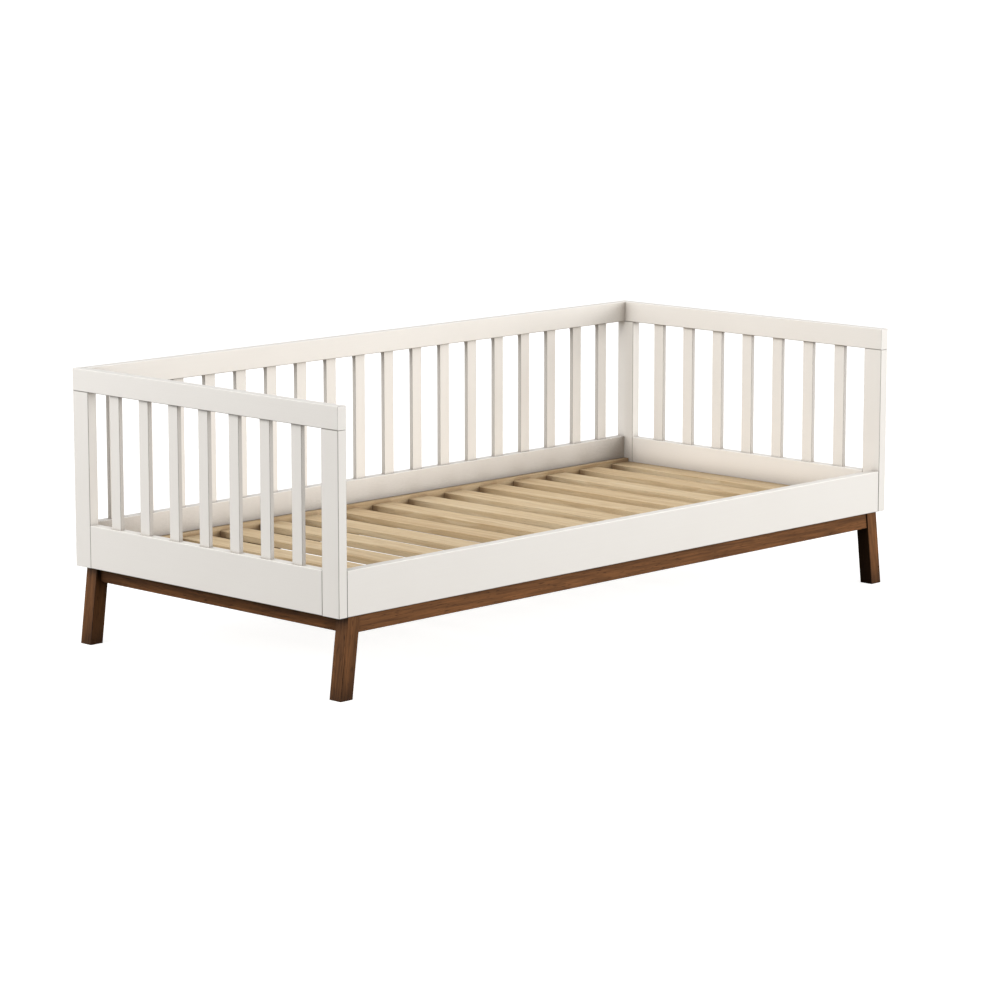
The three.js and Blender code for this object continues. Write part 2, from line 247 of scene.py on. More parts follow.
@dataclass(frozen=True)
class WhiteLacquer:
    """Sprayed satin lacquer over solid board: even, softly glossy, with the grain just telling.

    Upright arrises and cut ends carry a fine line of painted shade, while the top edges of the
    rails carry a painted highlight. Inner corners and seams carry painted shade.
    """

    name: str = "white_satin_lacquer"
    fresh: str = "f3efe9"
    aged: str = "ede8e1"
    arris_shade: str = "6e655b"
    arris_shade_share: float = 0.75
    arris_highlight: str = "fbf8f2"
    arris_highlight_share: float = 0.6
    # the colour of the painted shade in the deepest inner corners
    corner: str = "5c4c39"
    corner_shade_share: float = 0.85
    corner_shade_reach_mm: float = 165.0
    roughness: float = 0.36
    smoother: float = 0.04
    rougher: float = 0.06
    cloud_mm: float = 160.0
    grain_share: float = 0.35
    grain_length_mm: float = 140.0
    grain_width_mm: float = 2.6
    grain_height_mm: float = 0.02
    grain_strength: float = 0.6
    peel_mm: float = 2.2
    peel_height_mm: float = 0.006
    peel_strength: float = 0.8

    def edged(self, tree: NodeTree, body: NodeSocket) -> NodeSocket:
        """Paints shade on the marked edges and a highlight on the rails' top edges.

        Args:
            tree: the material's tree.
            body: the colour of the flats.

        Returns:
            The colour with its edges.
        """
        arris = add_node(tree, "ShaderNodeAttribute", give="Fac", attribute_name=ARRIS)
        colour = body
        # Positive marks get painted shade, negative ones a painted highlight.
        edges = ((1.0, self.arris_shade_share, self.arris_shade), (-1.0, self.arris_highlight_share, self.arris_highlight))
        for crown, share, tint in edges:
            limits = {"From Max": crown, "To Max": share}
            edge_paint = add_node(tree, "ShaderNodeMapRange", {"Value": arris, **limits})
            colours = {MIX_A: colour, MIX_B: linear(tint)}
            colour = add_node(tree, "ShaderNodeMix", {"Factor": edge_paint, **colours}, MIX_OUT, data_type="RGBA")
        return colour

    def material(self) -> Material:
        """Builds the material.

        Returns:
            The material.
        """
        material, tree = new_material(self.name)
        place = pattern_place(tree, PatternSpace.BOARD)
        cloud = add_node(
            tree, "ShaderNodeTexNoise", {"Vector": place, "Scale": per_metre(self.cloud_mm), "Detail": 3.0}
        )
        grain = stretched_noise(tree, place, self.grain_length_mm, self.grain_width_mm, 3.0, 0.5)
        # Orange peel is about a millimetre across, drawn at twice that so that it shows.
        peel = add_node(
            tree, "ShaderNodeTexNoise", {"Vector": place, "Scale": per_metre(self.peel_mm), "Detail": 1.0}
        )
        mottle = add_node(tree, "ShaderNodeMix", {"Factor": self.grain_share, "A": cloud, "B": grain})
        colours = {MIX_A: linear(self.fresh), MIX_B: linear(self.aged)}
        body = add_node(tree, "ShaderNodeMix", {"Factor": mottle, **colours}, MIX_OUT, data_type="RGBA")
        edged = self.edged(tree, body)
        colour = paint_corner_shade(tree, edged, self.corner, self.corner_shade_reach_mm, self.corner_shade_share)
        limits = {"To Min": self.roughness - self.smoother, "To Max": self.roughness + self.rougher}
        roughness = add_node(tree, "ShaderNodeMapRange", {"Value": mottle, **limits})
        relief = {"Distance": self.grain_height_mm * MM, "Strength": self.grain_strength}
        grained = add_node(tree, "ShaderNodeBump", {"Height": grain, **relief})
        relief = {"Distance": self.peel_height_mm * MM, "Strength": self.peel_strength, "Normal": grained}
        normal = add_node(tree, "ShaderNodeBump", {"Height": peel, **relief})
        look = {"Base Color": colour, "Roughness": roughness, "Normal": normal, "IOR": 1.5}
        shader = add_node(tree, "ShaderNodeBsdfPrincipled", look)
        add_node(tree, "ShaderNodeOutputMaterial", {"Surface": shader})
        return material


@dataclass(frozen=True)
class Wood:
    """A wood's figure: growth rings cut by the board's faces, streaks along it and fine pores.

    Sizes in pairs are the length along the grain and the width across it.
    """

    name: str
    space: PatternSpace
    light: str
    middle: str
    dark: str
    pore_and_shade: str
    ring_mm: float
    ring_share: float
    streak_mm: tuple[float, float]
    pore_mm: tuple[float, float]
    pore_share: float
    tone_share: float
    edge_share: float
    roughness: float
    roughness_swing: float
    relief_mm: float
    specular: float
    corner_shade_share: float
    corner_shade_reach_mm: float
    relief_strength: float = 0.7
    noise_roughness: float = 0.6
    wander_mm: tuple[float, float] = (420.0, 45.0)
    wander_rings: float = 5.0
    taper: float = 0.03  # how fast the rings close in along the log
    early_wood: float = 0.1
    late_wood_starts: float = 0.82
    broad_mm: tuple[float, float] = (300.0, 16.0)
    broad_share: float = 0.35
    pore_limits: tuple[float, float] = (0.6, 0.72)
    tone_stops: tuple[float, float, float] = (0.3, 0.52, 0.78)

    def noise(
        self, tree: NodeTree, place: NodeSocket, size_mm: tuple[float, float], detail: float
    ) -> NodeSocket:
        """Noise drawn out along the grain, with this wood's roughness."""
        return stretched_noise(tree, place, *size_mm, detail, self.noise_roughness)

    def rings(self, tree: NodeTree, place: NodeSocket) -> NodeSocket:
        """Growth rings round a pith that runs along the board and wanders.

        Args:
            tree: the material's tree.
            place: the pattern's coordinates.

        Returns:
            Nearly 0 in early wood, rising to 1 in late wood.
        """
        wander = self.noise(tree, place, self.wander_mm, 2.0)
        stretch = {0: place, 1: (self.taper, 1.0, 1.0)}
        across = add_node(tree, "ShaderNodeVectorMath", stretch, operation="MULTIPLY")
        radius = add_node(tree, "ShaderNodeVectorMath", {0: across}, "Value", operation="LENGTH")
        rings = {0: radius, 1: per_metre(self.ring_mm)}
        count = add_node(tree, "ShaderNodeMath", rings, operation="MULTIPLY")
        bend = {0: wander, 1: self.wander_rings, 2: count}
        bent = add_node(tree, "ShaderNodeMath", bend, operation="MULTIPLY_ADD")
        saw = add_node(tree, "ShaderNodeMath", {0: bent}, operation="FRACT")
        ramp = add_node(tree, "ShaderNodeValToRGB", {"Fac": saw})
        ramp.node.color_ramp.interpolation = "EASE"
        stops = ramp.node.color_ramp.elements
        early = (self.early_wood,) * 3 + (1.0,)
        stops[0].position, stops[0].color = 0.0, early
        stops[1].position, stops[1].color = self.late_wood_starts, (1.0, 1.0, 1.0, 1.0)
        stops.new(1.0).color = early
        return ramp

    def toned(self, tree: NodeTree, figure: NodeSocket) -> NodeSocket:
        """Colours a figure from light to dark, each board a little differently.

        Args:
            tree: the material's tree.
            figure: the wood's figure, from 0 to 1.

        Returns:
            The colour.
        """
        tone = add_node(tree, "ShaderNodeAttribute", give="Fac", attribute_name=TONE)
        shift = {0: tone, 1: self.tone_share, 2: figure}
        shifted = add_node(tree, "ShaderNodeMath", shift, operation="MULTIPLY_ADD")
        ramp = add_node(tree, "ShaderNodeValToRGB", {"Fac": shifted})
        stops = ramp.node.color_ramp.elements
        low, middle, high = self.tone_stops
        stops[0].position, stops[0].color = low, linear(self.light)
        stops[1].position, stops[1].color = middle, linear(self.middle)
        stops.new(high).color = linear(self.dark)
        return ramp

    def material(self) -> Material:
        """Builds the material.

        Returns:
            The material.
        """
        material, tree = new_material(self.name)
        place = pattern_place(tree, self.space)
        rings = self.rings(tree, place)
        streaks = self.noise(tree, place, self.streak_mm, 2.0)
        broad = self.noise(tree, place, self.broad_mm, 2.0)
        figure = add_node(tree, "ShaderNodeMix", {"Factor": self.ring_share, "A": streaks, "B": rings})
        mixed = add_node(tree, "ShaderNodeMix", {"Factor": self.broad_share, "A": figure, "B": broad})
        colour = self.toned(tree, mixed)
        # Pores are a few tenths of a millimetre wide, drawn wider so that they show.
        specks = self.noise(tree, place, self.pore_mm, 1.0)
        least, full = self.pore_limits
        pores = add_node(tree, "ShaderNodeMapRange", {"Value": specks, "From Min": least, "From Max": full})
        arris = add_node(tree, "ShaderNodeAttribute", give="Fac", attribute_name=ARRIS)
        # Marked edges take the pore colour too; on the legs' inner faces and beside the side rails' seams
        # the mark is painted shade.
        for mark, share in ((pores, self.pore_share), (arris, self.edge_share)):
            amount = add_node(tree, "ShaderNodeMath", {0: mark, 1: share}, operation="MULTIPLY")
            colours = {MIX_A: colour, MIX_B: linear(self.pore_and_shade)}
            mix = {"Factor": amount, **colours}
            colour = add_node(tree, "ShaderNodeMix", mix, MIX_OUT, data_type="RGBA")
        # Paints shade into the inner corners, in the pore colour.
        colour = paint_corner_shade(tree, colour, self.pore_and_shade, self.corner_shade_reach_mm, self.corner_shade_share)
        swing = self.roughness_swing
        limits = {"To Min": self.roughness - swing, "To Max": self.roughness + swing}
        roughness = add_node(tree, "ShaderNodeMapRange", {"Value": mixed, **limits})
        height = add_node(tree, "ShaderNodeMath", {0: streaks, 1: pores}, operation="SUBTRACT")
        relief = {"Distance": self.relief_mm * MM, "Strength": self.relief_strength}
        normal = add_node(tree, "ShaderNodeBump", {"Height": height, **relief})
        look = {"Base Color": colour, "Roughness": roughness, "Normal": normal, "IOR": 1.5}
        look["Specular IOR Level"] = self.specular
        shader = add_node(tree, "ShaderNodeBsdfPrincipled", look)
        add_node(tree, "ShaderNodeOutputMaterial", {"Surface": shader})
        return material


# Walnut stain under matt varnish on a fine-grained hardwood: deep brown, streaks that run the
# length of each board and short dark pores, with stain gathered along the edges.
WALNUT = Wood(
    name="walnut_stained_hardwood",
    space=PatternSpace.BOARD,
    light="8a5b35",
    middle="6b4628",
    dark="472c17",
    pore_and_shade="160b04",
    ring_mm=7.0,
    ring_share=0.15,
    streak_mm=(90.0, 3.2),
    pore_mm=(22.0, 2.2),
    pore_share=0.62,
    tone_share=0.1,
    edge_share=0.75,
    roughness=0.5,
    roughness_swing=0.06,
    relief_mm=0.08,
    specular=0.12,
    corner_shade_share=0.9,
    corner_shade_reach_mm=90.0,
)

# Planed, unfinished softwood slats: honey coloured, with broad lengthwise streaks from the rings.
PALE_WOOD = Wood(
    name="planed_pale_softwood",
    space=PatternSpace.BOARD,
    light="ecd6b2",
    middle="dfc49b",
    dark="c9a97e",
    pore_and_shade="5a4026",
    ring_mm=11.0,
    ring_share=0.25,
    streak_mm=(240.0, 5.0),
    pore_mm=(60.0, 2.6),
    pore_share=0.2,
    tone_share=0.14,
    edge_share=0.35,
    roughness=0.62,
    roughness_swing=0.08,
    relief_mm=0.06,
    specular=0.3,
    corner_shade_share=0.85,
    corner_shade_reach_mm=90.0,
)


@dataclass(frozen=True)
class ZincSteel:
    """Bright zinc plate on steel bolts: cool grey, softly blotched by the plating bath."""

    name: str = "zinc_plated_steel"
    bright: str = "c9ccd0"
    dull: str = "a9adb3"
    blotch_mm: float = 3.0
    roughness: tuple[float, float] = (0.28, 0.42)

    def material(self) -> Material:
        """Builds the material.

        Returns:
            The material.
        """
        material, tree = new_material(self.name)
        place = pattern_place(tree, PatternSpace.OBJECT)
        blotch = add_node(
            tree, "ShaderNodeTexNoise", {"Vector": place, "Scale": per_metre(self.blotch_mm), "Detail": 3.0}
        )
        colours = {MIX_A: linear(self.bright), MIX_B: linear(self.dull)}
        colour = add_node(tree, "ShaderNodeMix", {"Factor": blotch, **colours}, MIX_OUT, data_type="RGBA")
        low, high = self.roughness
        roughness = add_node(tree, "ShaderNodeMapRange", {"Value": blotch, "To Min": low, "To Max": high})
        look = {"Base Color": colour, "Roughness": roughness, "Metallic": 1.0}
        shader = add_node(tree, "ShaderNodeBsdfPrincipled", look)
        add_node(tree, "ShaderNodeOutputMaterial", {"Surface": shader})
        return material


# --------------------------------------------------------------------------------- board shapes

# How far from its log's middle a board may be cut, along, across and through it.
LOG_LIMITS = ((-3.0, 3.0), (-0.02, 0.02), (0.03, 0.07))
# How much further each copy in a row may be.
ROW_LOG_LIMITS = ((-3.0, 3.0), (-0.02, 0.02), (-0.01, 0.03))
TONE_LIMITS = (-0.5, 0.5)


@dataclass(frozen=True)
class OutlinePoint:
    """A point on a board's cross-section.

    Attributes:
        across: its place across the board.
        through: its place through the board.
        normal: the outward direction there, across and through.
        crown: 1 at the crown of a rounded corner, 0 where the flats begin, and -1 at the crown
        of a corner that carries a painted highlight.
        opens: True if mortises are cut between this point and the next.
    """

    across: float
    through: float
    normal: tuple[float, float]
    crown: float = 0.0
    opens: bool = False


@dataclass(frozen=True)
class Station:
    """A cross-section along a board.

    Attributes:
        along: its place along the board.
        inset: how far the outline is drawn in, where the board's end is rounded.
        turn: the normal's angle from the board's end, in radians: a quarter turn on its flats.
        facing: -1 towards the low end, 1 towards the high end, 0 between.
        lean: how far the section leans along the board for each metre through it.
        opens: True if mortises are cut between this station and the next.
    """

    along: float
    inset: float = 0.0
    turn: float = math.pi / 2
    facing: int = 0
    lean: float = 0.0
    opens: bool = False


def rectangle(half_across: float, half_through: float) -> list[tuple[float, float]]:
    """The corners of a rectangle about the origin, anticlockwise."""
    return [
        (-half_across, -half_through),
        (half_across, -half_through),
        (half_across, half_through),
        (-half_across, half_through),
    ]


def eased_outline(
    corners: Sequence[tuple[float, float]], radius: float, opens_after: int = -1
) -> list[OutlinePoint]:
    """Rounds the corners of a polygon.

    Args:
        corners: the corners, anticlockwise. One on a straight side stays as it is.
        radius: the radius of each rounding.
        opens_after: the corner after which mortises are cut, or -1.

    Returns:
        The points round the polygon, with their outward normals.
    """
    points = []
    count = len(corners)
    for index in range(count):
        corner = Vector(corners[index])
        come = (corner - Vector(corners[index - 1])).normalized()
        leave = (Vector(corners[(index + 1) % count]) - corner).normalized()
        turn = math.atan2(come.cross(leave), come.dot(leave))
        normal = Vector((come.y, -come.x))
        if abs(turn) < TINY:
            points.append(OutlinePoint(corner.x, corner.y, tuple(normal), opens=index == opens_after))
            continue
        side = math.copysign(1.0, turn)
        start = corner - come * radius * math.tan(abs(turn) / 2)
        centre = start - normal * side * radius
        for step in range(EDGE_STEPS + 1):
            angle = turn * step / EDGE_STEPS
            cos, sin = math.cos(angle), math.sin(angle)
            out = Vector((normal.x * cos - normal.y * sin, normal.x * sin + normal.y * cos))
            place = centre + out * side * radius
            crown = math.sin(math.pi * step / EDGE_STEPS)
            points.append(OutlinePoint(place.x, place.y, tuple(out), crown))
    return points


@dataclass
class Solid:
    """A closed mesh in the making, in a board's own (along, across, through) frame."""

    points: list[Vector] = field(default_factory=list)
    faces: list[list[int]] = field(default_factory=list)
    corner_normals: list[Vector] = field(default_factory=list)
    crowns: list[float] = field(default_factory=list)
    places: list[Vector] = field(default_factory=list)

    def add_face(self, corners: Sequence[int], normals: Sequence[Vector] | None = None) -> None:
        """Adds a face.

        Args:
            corners: its points, anticlockwise from outside.
            normals: the smooth normal at each, or None for a flat face.
        """
        self.faces.append(list(corners))
        if normals is None:
            first, second, third = (self.points[i] for i in corners[:3])
            normals = [(second - first).cross(third - second).normalized()] * len(corners)
        self.corner_normals.extend(normals)

    def moved(self, change: Matrix) -> "Solid":
        """A copy moved, turned or sheared, its pattern's places left as they are.

        Args:
            change: the matrix that moves it.

        Returns:
            The copy.
        """
        for_normals = change.to_3x3().inverted().transposed()
        return Solid(
            [change @ p for p in self.points],
            self.faces,
            [(for_normals @ n).normalized() for n in self.corner_normals],
            self.crowns,
            self.places,
        )

    def in_bed(self, axis: Axis) -> "Solid":
        """A copy in the bed's frame, for a board that runs along an axis."""
        return Solid(
            [axis.to_bed(p) for p in self.points],
            self.faces,
            [axis.to_bed(n) for n in self.corner_normals],
            self.crowns,
            self.places,
        )

    def to_object(self, name: str, material: Material | None = None) -> Object:
        """Makes the mesh object.

        Args:
            name: the object's name, which also sets where in the wood its pattern is cut from.
            material: its finish, or None.

        Returns:
            The object, linked to the scene, at the origin.
        """
        mesh = bpy.data.meshes.new(name)
        mesh.from_pydata([tuple(p) for p in self.points], [], self.faces, shade_flat=False)
        chance = random.Random(name)
        cut_from = Vector(chance.uniform(*limits) for limits in LOG_LIMITS)
        tones = [chance.uniform(*TONE_LIMITS)] * len(self.points)
        values = (
            (PLACE, "FLOAT_VECTOR", "POINT", "vector", [c for p in self.places for c in p + cut_from]),
            (ARRIS, "FLOAT", "POINT", "value", self.crowns),
            (TONE, "FLOAT", "POINT", "value", tones),
            (NORMAL, "FLOAT_VECTOR", "CORNER", "vector", [c for n in self.corner_normals for c in n]),
        )
        for attribute, kind, domain, key, data in values:
            mesh.attributes.new(attribute, kind, domain).data.foreach_set(key, data)
        smooth_by_attribute(mesh)
        if material is not None:
            mesh.materials.append(material)
        return add_object(name, mesh)


def smooth_by_attribute(mesh: Mesh) -> None:
    """Sets a mesh's corner normals from the ones that its maker stored.

    Args:
        mesh: the mesh.
    """
    stored = mesh.attributes[NORMAL].data
    mesh.normals_split_custom_set([tuple(corner.vector) for corner in stored])
    mesh.update()


def loft(outline: Sequence[OutlinePoint], stations: Sequence[Station], mortise_depth: float = 0.0) -> Solid:
    """Draws an outline through stations along a board and closes both ends.

    Args:
        outline: the cross-section, anticlockwise seen from the board's high end.
        stations: the cross-sections' places, from the low end to the high one.
        mortise_depth: how deep a pocket goes where both an outline point and a station open one.

    Returns:
        The closed solid.
    """
    solid = Solid()
    round_count = len(outline)
    normals = []
    for station in stations:
        end_normal = Vector((station.facing, 0.0, -station.facing * station.lean)).normalized()
        for point in outline:
            across = point.across - point.normal[0] * station.inset
            through = point.through - point.normal[1] * station.inset
            place = Vector((station.along + station.lean * through, across, through))
            solid.points.append(place)
            solid.places.append(place.copy())
            end_crown = math.sin(2 * station.turn)
            solid.crowns.append(end_crown + point.crown * math.sin(station.turn) * (1 - end_crown))
            side = Vector((0.0, *point.normal))
            normals.append(side * math.sin(station.turn) + end_normal * math.cos(station.turn))

    for row in range(len(stations) - 1):
        for column in range(round_count):
            beside = (column + 1) % round_count
            corners = [
                row * round_count + column,
                row * round_count + beside,
                (row + 1) * round_count + beside,
                (row + 1) * round_count + column,
            ]
            if stations[row].opens and outline[column].opens:
                cut_pocket(solid, corners, -Vector((0.0, *outline[column].normal)) * mortise_depth)
            else:
                solid.add_face(corners, [normals[i] for i in corners])

    last = (len(stations) - 1) * round_count
    low_end = list(reversed(range(round_count)))
    high_end = list(range(last, last + round_count))
    solid.add_face(low_end, [normals[i] for i in low_end])
    solid.add_face(high_end, [normals[i] for i in high_end])
    return solid


def cut_pocket(solid: Solid, rim: Sequence[int], inward: Vector) -> None:
    """Adds the walls and floor of a mortise in place of a face.

    Args:
        solid: the solid that it is cut in.
        rim: the face's four points.
        inward: how far its floor lies from the face, and which way.
    """
    floor = []
    for corner in rim:
        floor.append(len(solid.points))
        solid.points.append(solid.points[corner] + inward)
        solid.places.append(solid.places[corner] + inward)
        solid.crowns.append(0.0)
    for step in range(4):
        beside = (step + 1) % 4
        solid.add_face([rim[step], rim[beside], floor[beside], floor[step]])
    solid.add_face(floor)


def rounded_end(end: float, facing: int, radius: float, lean: float = 0.0) -> list[Station]:
    """The stations that round one end of a board, from its low side to its high side.

    Args:
        end: where the board ends.
        facing: -1 for its low end, 1 for its high end.
        radius: the radius of the rounding.
        lean: how far the end leans along the board for each metre through it.

    Returns:
        The stations in order along the board.
    """
    stations = []
    for step in range(EDGE_STEPS + 1):
        turn = math.pi / 2 * step / EDGE_STEPS
        along = end - facing * radius * (1 - math.cos(turn))
        stations.append(Station(along, radius * (1 - math.sin(turn)), turn, facing, lean))
    return stations if facing < 0 else stations[::-1]


@dataclass(frozen=True)
class Mortises:
    """A row of mortises along the low or high side of a board.

    Attributes:
        middles: where along the board each one's middle is.
        length: their size along the board.
        width: their size across the side that they are cut in.
        depth: how deep they are.
        side: the side's axis and direction in the bed's frame: -1 below, 1 above.
    """

    middles: tuple[float, ...]
    length: float
    width: float
    depth: float
    side: int


@dataclass(frozen=True)
class Board:
    """A straight board with eased edges.

    Attributes:
        low: its lowest corner.
        high: its highest corner.
        axis: the way its grain runs.
        edge: the radius of its long edges.
        end_edge: the radius round its ends.
        mortises: what is cut in its underside or its top, or None.
    """

    low: Vector
    high: Vector
    axis: Axis
    edge: float = 1.5 * MM
    end_edge: float = 0.6 * MM
    mortises: Mortises | None = None

    def outline(self) -> list[OutlinePoint]:
        """The cross-section about the board's middle, with a strip for any mortises.

        Returns:
            The points round it.
        """
        half = self.axis.to_board((self.high - self.low) / 2)
        corners = rectangle(half.y, half.z)
        if self.mortises is None:
            return self.paint_top_highlight(eased_outline(corners, self.edge))
        strip = self.mortises.width / 2
        up_is_through = self.axis is Axis.X
        if up_is_through and self.mortises.side < 0:
            after, added = 1, [(-strip, -half.z), (strip, -half.z)]
        elif up_is_through:
            after, added = 3, [(strip, half.z), (-strip, half.z)]
        elif self.mortises.side < 0:
            after, added = 4, [(-half.y, strip), (-half.y, -strip)]
        else:
            after, added = 2, [(half.y, -strip), (half.y, strip)]
        return self.paint_top_highlight(eased_outline(corners[:after] + added + corners[after:], self.edge, after))

    def paint_top_highlight(self, points: list[OutlinePoint]) -> list[OutlinePoint]:
        """Marks the upper edges of a level board for a painted highlight.

        Args:
            points: the board's cross-section.

        Returns:
            The cross-section with its crowns marked.
        """
        if self.axis is Axis.Z:
            return points
        up = 1 if self.axis is Axis.X else 0
        return [replace(point, crown=-point.crown) if point.normal[up] > TINY else point
                for point in points]

    def solid(self) -> Solid:
        """Builds the board.

        Returns:
            The board in the bed's frame.
        """
        half_length = self.axis.to_board(self.high - self.low).x / 2
        middle = (self.low + self.high) / 2
        stations = rounded_end(-half_length, -1, self.end_edge)
        if self.mortises is not None:
            start = self.axis.to_board(middle).x
            for place in self.mortises.middles:
                first = place - start - self.mortises.length / 2
                stations.append(Station(first, opens=True))
                stations.append(Station(first + self.mortises.length))
        stations += rounded_end(half_length, 1, self.end_edge)
        depth = self.mortises.depth if self.mortises else 0.0
        return loft(self.outline(), stations, depth).in_bed(self.axis).moved(Matrix.Translation(middle))


# ------------------------------------------------------------------------------ rows of pieces


@dataclass(frozen=True)
class Row:
    """Copies of one piece at even steps, laid out by Geometry Nodes.

    Attributes:
        name: the finished piece's name.
        first: the place of the first copy's middle.
        step: from one copy to the next.
        count: how many there are.
        seed: for the part of the log that each is cut from.
        slack: how far a copy may stray along the step, as hand-set pieces do.
    """

    name: str
    first: Vector
    step: Vector
    count: int
    seed: int
    slack: float = 0.0

    def tree(self) -> NodeTree:
        """Builds the node tree, with its sizes as named inputs.

        Returns:
            The tree.
        """
        tree = bpy.data.node_groups.new("row_of_pieces", "GeometryNodeTree")
        kinds = {
            "Geometry": "NodeSocketGeometry",
            "First": "NodeSocketVector",
            "Step": "NodeSocketVector",
            "Count": "NodeSocketInt",
            "Seed": "NodeSocketInt",
            "Slack": "NodeSocketVector",
            "Finish": "NodeSocketMaterial",
        }
        for name, kind in kinds.items():
            tree.interface.new_socket(name, in_out="INPUT", socket_type=kind)
        tree.interface.new_socket("Geometry", in_out="OUTPUT", socket_type="NodeSocketGeometry")
        given = add_node(tree, "NodeGroupInput").node.outputs
        along = {"Count": given["Count"], "Start Location": given["First"], "Offset": given["Step"]}
        line = add_node(tree, "GeometryNodeMeshLine", along)
        index = add_node(tree, "GeometryNodeInputIndex")
        draw = {"ID": index, "Seed": given["Seed"]}
        stray, cut_from = (
            add_node(tree, "FunctionNodeRandomValue", {0: low, 1: high, **draw}, data_type="FLOAT_VECTOR")
            for low, high in (((-1.0,) * 3, (1.0,) * 3), tuple(zip(*ROW_LOG_LIMITS)))
        )
        low, high = TONE_LIMITS
        tone = add_node(tree, "FunctionNodeRandomValue", {2: low, 3: high, **draw}, 1, data_type="FLOAT")
        shift = add_node(tree, "ShaderNodeVectorMath", {0: stray, 1: given["Slack"]}, operation="MULTIPLY")
        set_out = add_node(tree, "GeometryNodeSetPosition", {"Geometry": line, "Offset": shift})
        laid = {"Points": set_out, "Instance": given["Geometry"]}
        pieces = add_node(tree, "GeometryNodeInstanceOnPoints", laid)
        drawn = (("log_shift", cut_from, "FLOAT_VECTOR"), ("row_tone", tone, "FLOAT"))
        pieces = self.store(tree, pieces, drawn, "INSTANCE")
        pieces = add_node(tree, "GeometryNodeRealizeInstances", {"Geometry": pieces})
        stored = {PLACE: "FLOAT_VECTOR", "log_shift": "FLOAT_VECTOR", "row_tone": "FLOAT"}
        own_place, log_shift, row_tone = (
            add_node(tree, "GeometryNodeInputNamedAttribute", {"Name": name}, data_type=kind)
            for name, kind in stored.items()
        )
        place = add_node(tree, "ShaderNodeVectorMath", {0: own_place, 1: log_shift})
        marks = ((PLACE, place, "FLOAT_VECTOR"), (TONE, row_tone, "FLOAT"))
        pieces = self.store(tree, pieces, marks, "POINT")
        dressed = {"Geometry": pieces, "Material": given["Finish"]}
        add_node(tree, "NodeGroupOutput", {"Geometry": add_node(tree, "GeometryNodeSetMaterial", dressed)})
        return tree

    @staticmethod
    def store(
        tree: NodeTree, pieces: NodeSocket, marks: Iterable[tuple[str, NodeSocket, str]], domain: str
    ) -> NodeSocket:
        """Marks the pieces with values that their finish reads.

        Args:
            tree: the row's tree.
            pieces: the pieces.
            marks: each attribute's name, value and kind.
            domain: what each value belongs to.

        Returns:
            The marked pieces.
        """
        for name, value, kind in marks:
            mark = {"Geometry": pieces, "Name": name, "Value": value}
            pieces = add_node(tree, "GeometryNodeStoreNamedAttribute", mark, data_type=kind, domain=domain)
        return pieces

    def lay(self, single: Object, finish: Material) -> Object:
        """Lays the row out as one plain mesh.

        Args:
            single: one piece about the origin, which is used up.
            finish: the row's material.

        Returns:
            The row, at the origin, with no modifier.
        """
        tree = self.tree()
        modifier = single.modifiers.new("row", "NODES")
        modifier.node_group = tree
        values = {
            "First": tuple(self.first),
            "Step": tuple(self.step),
            "Count": self.count,
            "Seed": self.seed,
            "Slack": tuple(self.step.normalized() * self.slack),
            "Finish": finish,
        }
        items = tree.interface.items_tree
        sockets = {item.name: item.identifier for item in items if item.in_out == "INPUT"}
        for name, value in values.items():
            modifier[sockets[name]] = value
        bpy.context.view_layer.update()
        graph = bpy.context.evaluated_depsgraph_get()
        mesh = bpy.data.meshes.new_from_object(single.evaluated_get(graph))
        mesh.name = self.name
        single.modifiers.remove(modifier)
        bpy.data.objects.remove(single)
        bpy.data.node_groups.remove(tree)
        if NORMAL in mesh.attributes:
            smooth_by_attribute(mesh)
        return add_object(self.name, mesh)


# ------------------------------------------------------------------------------ fitting to frame


@dataclass(frozen=True)
class Box:
    """The space that a node of the frame takes up."""

    low: Vector
    high: Vector

    @classmethod
    def of(cls, node: str) -> "Box":
        """The box of a node."""
        low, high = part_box(node)
        return cls(low, high)

    @property
    def middle(self) -> Vector:
        """The middle of the box."""
        return (self.low + self.high) / 2

    @property
    def size(self) -> Vector:
        """The sides of the box."""
        return self.high - self.low


def fit(piece: Object, nodes: Iterable[str]) -> Object:
    """Puts a finished piece in the place of its frame nodes.

    Args:
        piece: the finished piece.
        nodes: the nodes that it stands for.

    Returns:
        The piece.
    """
    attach(piece, BODY)
    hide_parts(*nodes)
    log.info("%s: %d faces, for %s", piece.name, len(piece.data.polygons), ", ".join(nodes) or "no node")
    return piece


def fit_board(board: Board, node: str, finish: Material) -> None:
    """Builds a board and puts it in the place of its frame node.

    Args:
        board: the board.
        node: its node.
        finish: its material.
    """
    fit(board.solid().to_object(f"{node}_finished", finish), [node])


def numbered(name: str, count: int) -> list[str]:
    """The names of a numbered run of nodes."""
    return [f"{name}_{number:02d}" for number in range(1, count + 1)]


@dataclass(frozen=True)
class Finishes:
    """The bed's materials, each built once."""

    white: Material
    white_slats: Material
    white_ends: Material
    walnut: Material
    walnut_cad: Material
    pale: Material
    zinc: Material

    @classmethod
    def build(cls) -> "Finishes":
        """Builds them all.

        Returns:
            The materials.
        """
        # The back panel's long boards carry the most painted shade in their corners, the end panels the
        # least.
        on_slats = WhiteLacquer("white_satin_lacquer_on_slats", corner_shade_share=0.65, corner_shade_reach_mm=100.0)
        on_ends = WhiteLacquer("white_satin_lacquer_on_ends", corner_shade_share=0.6, corner_shade_reach_mm=45.0)
        on_frame = replace(WALNUT, name="walnut_stained_block", space=PatternSpace.OBJECT)
        return cls(
            WhiteLacquer().material(),
            on_slats.material(),
            on_ends.material(),
            WALNUT.material(),
            on_frame.material(),
            PALE_WOOD.material(),
            ZincSteel().material(),
        )


# ---------------------------------------------------------------------------------- upright slats


